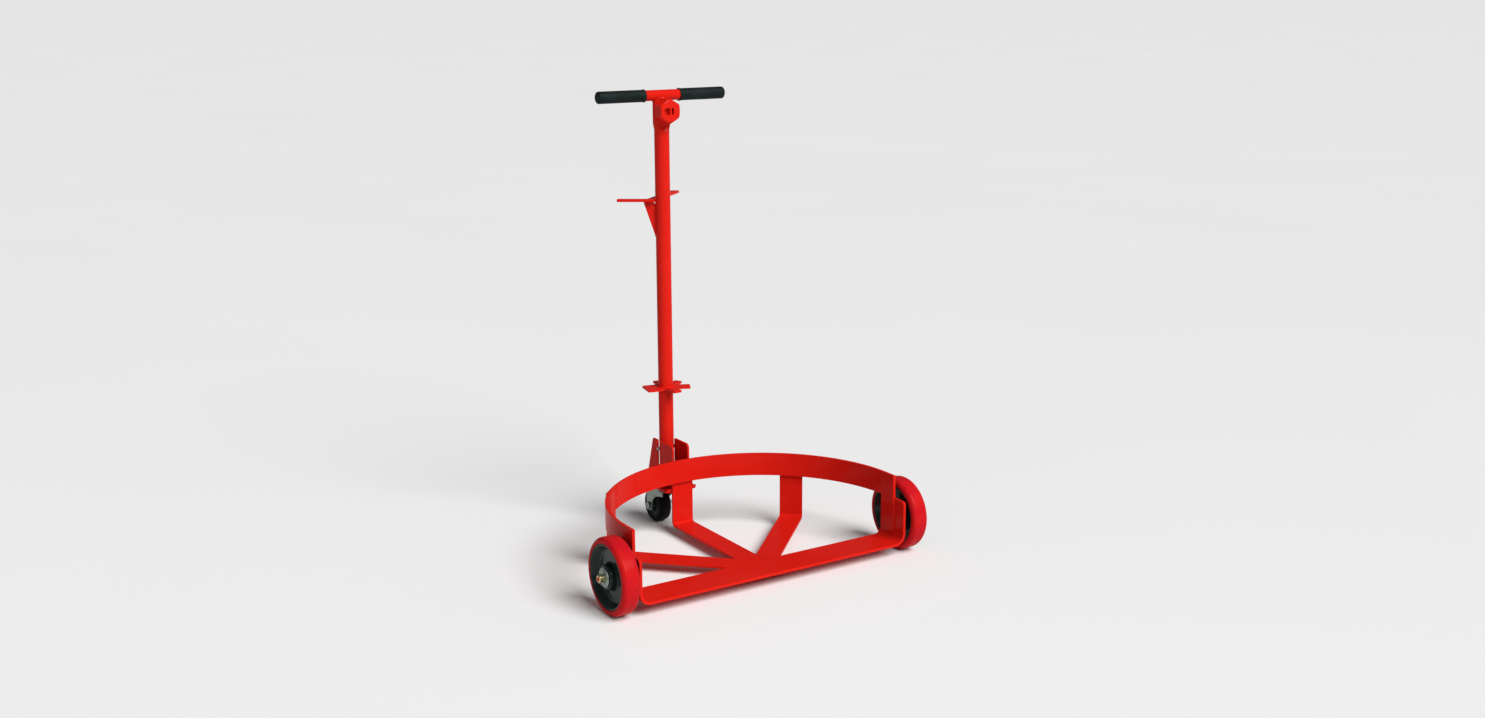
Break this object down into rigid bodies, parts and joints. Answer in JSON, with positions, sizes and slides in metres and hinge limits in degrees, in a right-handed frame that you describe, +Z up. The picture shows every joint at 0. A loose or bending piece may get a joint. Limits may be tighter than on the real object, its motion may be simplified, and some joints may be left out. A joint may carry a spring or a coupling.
{
  "type": "drum dolly",
  "caption": "Low half-ring drum dolly on fixed front wheels and a swivel caster, with a lift-out T-handle carrying bung and ring wrenches.",
  "frame": {"origin": "on the floor, in the middle of the footprint's bounding box", "axes": "+Z up, +Y from the open front towards the handle, +X to the right seen from the open front, along the wheels' axle line"},
  "size_m": [0.747, 0.5734, 0.9513],
  "materials": {
    "red_paint": "gloss powder coat",
    "red_tread": "semi-gloss cast polyurethane",
    "cast_core": "dark grey-green painted casting",
    "grip_rubber": "matt moulded rubber",
    "caster_tyre": "dull black",
    "zinc_steel": "zinc plated",
    "yellow_zinc": "yellow passivated zinc"
  },
  "bodies": {
    "frame": {"ring_band": "red_paint", "front_bar": "red_paint", "centre_spoke": "red_paint", "left_spoke": "red_paint", "right_spoke": "red_paint", "left_end_leg": "red_paint", "right_end_leg": "red_paint", "bracket_plate": "red_paint", "left_ear": "red_paint", "right_ear": "red_paint", "front_foot_stop": "red_paint", "rear_foot_stop": "red_paint", "left_axle": "yellow_zinc", "left_spacer": "zinc_steel", "left_axle_washer": "zinc_steel", "left_cotter_pin": "yellow_zinc", "right_axle": "yellow_zinc", "right_spacer": "zinc_steel", "right_axle_washer": "zinc_steel", "right_cotter_pin": "yellow_zinc", "caster_top_plate": "zinc_steel", "caster_race": "zinc_steel", "caster_kingpin": "zinc_steel", "caster_bolt_1": "zinc_steel", "caster_bolt_2": "zinc_steel", "caster_bolt_3": "zinc_steel", "caster_bolt_4": "zinc_steel", "caster_nut_1": "zinc_steel", "caster_nut_2": "zinc_steel", "caster_nut_3": "zinc_steel", "caster_nut_4": "zinc_steel"},
    "left_wheel": {"left_wheel_core": "cast_core", "left_wheel_tread": "red_tread", "left_wheel_bush": "yellow_zinc"},
    "right_wheel": {"right_wheel_core": "cast_core", "right_wheel_tread": "red_tread", "right_wheel_bush": "yellow_zinc"},
    "caster_fork": {"caster_yoke": "zinc_steel", "caster_axle_bolt": "zinc_steel", "caster_axle_nut": "zinc_steel"},
    "caster_wheel": {"caster_wheel_core": "cast_core", "caster_wheel_tyre": "caster_tyre", "caster_wheel_bush": "yellow_zinc"},
    "handle": {"post": "red_paint", "cross_pin": "zinc_steel", "t_bar": "red_paint", "left_grip": "grip_rubber", "right_grip": "grip_rubber", "hex_wrench": "red_paint", "hook_plate": "red_paint", "hook_gusset": "red_paint", "star_plate": "red_paint"}
  },
  "joints": [
    {"name": "left_wheel_spin", "type": "hinge", "parent": "frame", "child": "left_wheel", "pos_m": [-0.3395, -0.2105, 0.0762], "axis": [1, 0, 0], "continuous": true},
    {"name": "right_wheel_spin", "type": "hinge", "parent": "frame", "child": "right_wheel", "pos_m": [0.3395, -0.2105, 0.0762], "axis": [1, 0, 0], "continuous": true},
    {"name": "caster_swivel", "type": "hinge", "parent": "frame", "child": "caster_fork", "pos_m": [0, 0.1895, 0.09], "axis": [0, 0, 1], "continuous": true},
    {"name": "caster_wheel_spin", "type": "hinge", "parent": "caster_fork", "child": "caster_wheel", "pos_m": [0, 0.2195, 0.038], "axis": [1, 0, 0], "continuous": true},
    {"name": "handle_lift", "type": "slide", "parent": "frame", "child": "handle", "axis": [0, 0, 1], "range_m": [0, 0.11]}
  ]
}
